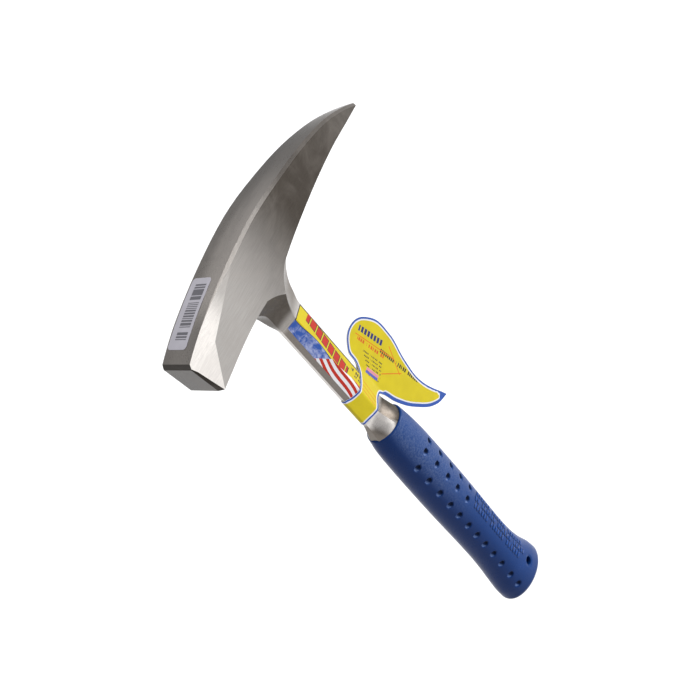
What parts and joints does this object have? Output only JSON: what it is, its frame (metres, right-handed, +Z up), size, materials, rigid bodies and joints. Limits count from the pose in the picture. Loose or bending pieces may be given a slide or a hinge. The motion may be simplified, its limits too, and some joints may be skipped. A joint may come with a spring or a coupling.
{
  "type": "rock hammer",
  "caption": "Forged steel rock hammer with a square striking poll, a long curved pick, a cushioned grip with a lanyard hole and a card tag sliding on the shank.",
  "frame": {"origin": "centre of the lanyard hole near the butt of the grip, on the hammer's mid-plane", "axes": "+Z up the handle to the head, +X towards the pick's tip, -Y out of the front cheek, so +Y runs along the lanyard hole"},
  "size_m": [0.191, 0.027, 0.33],
  "materials": {
    "steel": "ground and polished",
    "vinyl": "satin moulded vinyl",
    "label_front": "printed",
    "label_back": "printed",
    "sticker": "printed",
    "card": "printed"
  },
  "bodies": {
    "hammer": {"forged_head_and_shank": "steel", "grip": "vinyl", "shank_label_front": "label_front", "shank_label_back": "label_back", "barcode_sticker": "sticker"},
    "tag": {"hang_tag": "card"}
  },
  "joints": [
    {"name": "tag_slide", "type": "slide", "parent": "hammer", "child": "tag", "axis": [0, 0, 1], "range_m": [0, 0.05]}
  ]
}
